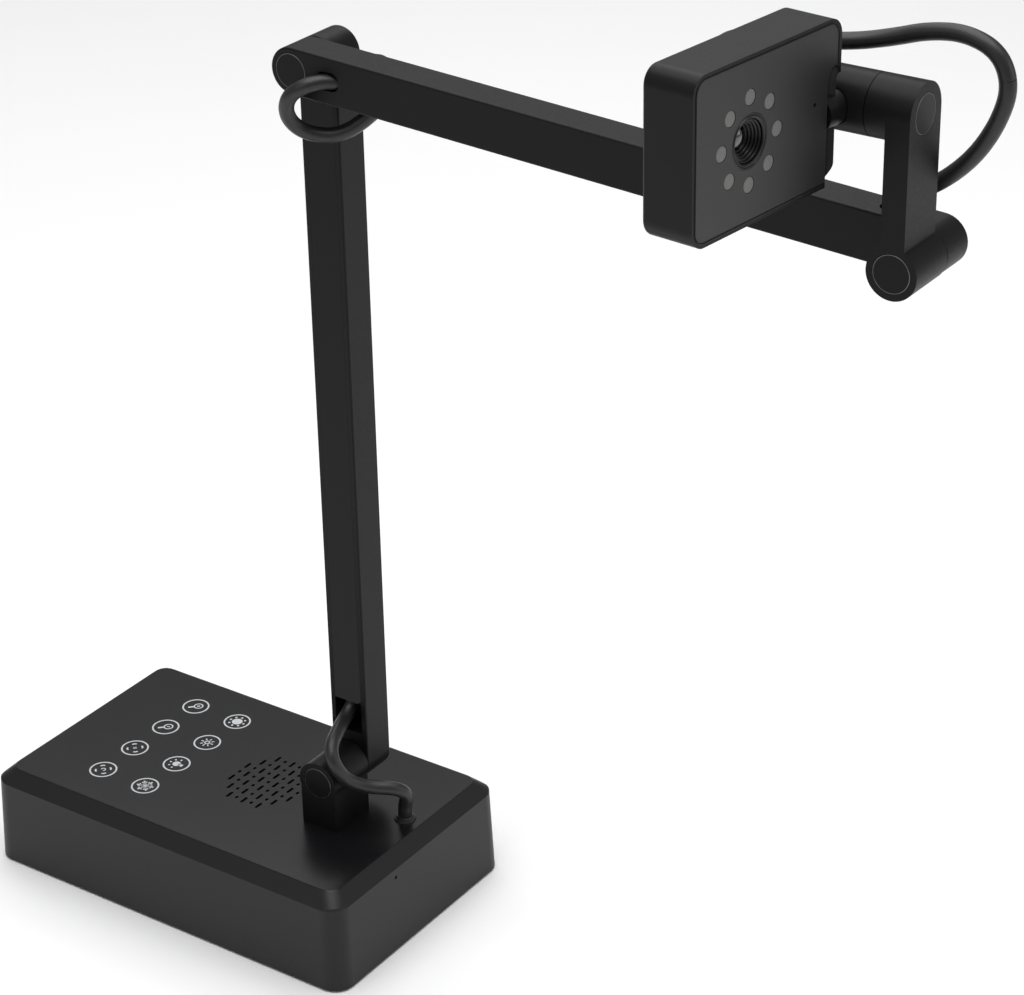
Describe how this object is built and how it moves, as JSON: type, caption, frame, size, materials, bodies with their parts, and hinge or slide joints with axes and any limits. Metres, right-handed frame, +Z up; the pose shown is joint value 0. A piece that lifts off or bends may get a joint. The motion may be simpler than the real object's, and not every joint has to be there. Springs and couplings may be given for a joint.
{
  "type": "document camera",
  "caption": "Desktop document camera with a weighted base, touch keys, a tilting post and arm, a short link and a swivelling, tilting camera head with a ring of lamps.",
  "frame": {"origin": "centre of the rubber mat's underside, on the desk", "axes": "+Z up; +X along the base's length, from the touch keys towards the foot of the post; -Y is the side the arm and the lens face"},
  "size_m": [0.4604, 0.1751, 0.4678],
  "materials": {
    "housing_plastic": "fine-textured moulded ABS, satin black",
    "mat_rubber": "matt silicone rubber",
    "steel": "plain turned and pressed steel",
    "circuit_board": "green solder mask",
    "socket_steel": "nickel-plated steel shell",
    "cone_paper": "black paper cone",
    "magnet_steel": "zinc-plated steel",
    "cable_jacket": "satin black soft jacket",
    "arm_metal": "satin black powder coat on extruded aluminium",
    "strip_plastic": "smooth black polycarbonate strip",
    "cap_metal": "satin black cap with a bright turned edge",
    "washer_polymer": "acetal",
    "panel_plastic": "satin dark grey moulded panel",
    "lamp_diffuser": "milky acrylic diffuser",
    "lens_black": "deep black turned baffle",
    "lens_glass": "coated glass"
  },
  "bodies": {
    "base": {"base_shell": "housing_plastic", "bottom_plate": "housing_plastic", "anti_slip_mat": "mat_rubber", "bottom_screws": "steel", "ballast_plate": "steel", "board_standoffs": "steel", "main_board": "circuit_board", "touch_board": "circuit_board", "usb_socket": "socket_steel", "base_microphone": "steel", "speaker_frame": "magnet_steel", "speaker_cone": "cone_paper", "speaker_magnet": "magnet_steel", "cable_gland": "cable_jacket", "foot_bracket": "arm_metal", "bracket_screws": "steel", "foot_cable": "cable_jacket", "foot_pin": "steel", "foot_near_cap": "cap_metal", "foot_friction_washer": "washer_polymer", "foot_nut": "steel", "foot_disc_springs": "steel"},
    "post": {"post_tube": "arm_metal", "post_cover_strip": "strip_plastic", "foot_far_cap": "cap_metal", "elbow_far_cap": "cap_metal"},
    "arm": {"arm_tube": "arm_metal", "arm_cover_strip": "strip_plastic", "elbow_pin": "steel", "elbow_near_cap": "cap_metal", "elbow_friction_washer": "washer_polymer", "elbow_nut": "steel", "elbow_disc_springs": "steel", "elbow_cable": "cable_jacket", "wrist_far_cap": "cap_metal", "head_cable": "cable_jacket"},
    "link": {"link_bar": "arm_metal", "wrist_pin": "steel", "wrist_near_cap": "cap_metal", "wrist_friction_washer": "washer_polymer", "wrist_nut": "steel", "wrist_disc_springs": "steel", "swivel_far_cap": "cap_metal"},
    "swivel": {"swivel_barrel": "arm_metal", "swivel_pin": "steel", "swivel_friction_washer": "washer_polymer", "swivel_nut": "steel", "swivel_disc_springs": "steel", "tilt_pin": "steel", "tilt_nut": "steel"},
    "head": {"head_casing": "housing_plastic", "front_panel": "panel_plastic", "led_windows": "lamp_diffuser", "lens_ring": "lens_black", "lens_barrel": "lens_black", "lens_glass": "lens_glass", "sensor_board": "circuit_board", "led_board": "circuit_board", "head_screws": "steel", "head_gland": "cable_jacket"}
  },
  "joints": [
    {"name": "foot_tilt", "type": "hinge", "parent": "base", "child": "post", "pos_m": [0.0566, 0.008, 0.0695], "axis": [0, 1, 0], "range_deg": [-90, 15], "deforming": ["foot_cable"]},
    {"name": "elbow_tilt", "type": "hinge", "parent": "post", "child": "arm", "pos_m": [0.0566, 0.008, 0.3935], "axis": [0, 1, 0], "range_deg": [-85, 75], "deforming": ["elbow_cable"]},
    {"name": "wrist_tilt", "type": "hinge", "parent": "arm", "child": "link", "pos_m": [0.33261, -0.00865, 0.37879], "axis": [0, 1, 0], "range_deg": [-90, 60], "deforming": ["head_cable"]},
    {"name": "head_swivel", "type": "hinge", "parent": "link", "child": "swivel", "pos_m": [0.31961, -0.02, 0.43379], "axis": [1, 0, 0], "range_deg": [-90, 30]},
    {"name": "head_tilt", "type": "hinge", "parent": "swivel", "child": "head", "pos_m": [0.30705, -0.03338, 0.43379], "axis": [0.1045, 0.9945, 0], "range_deg": [-30, 80]}
  ]
}
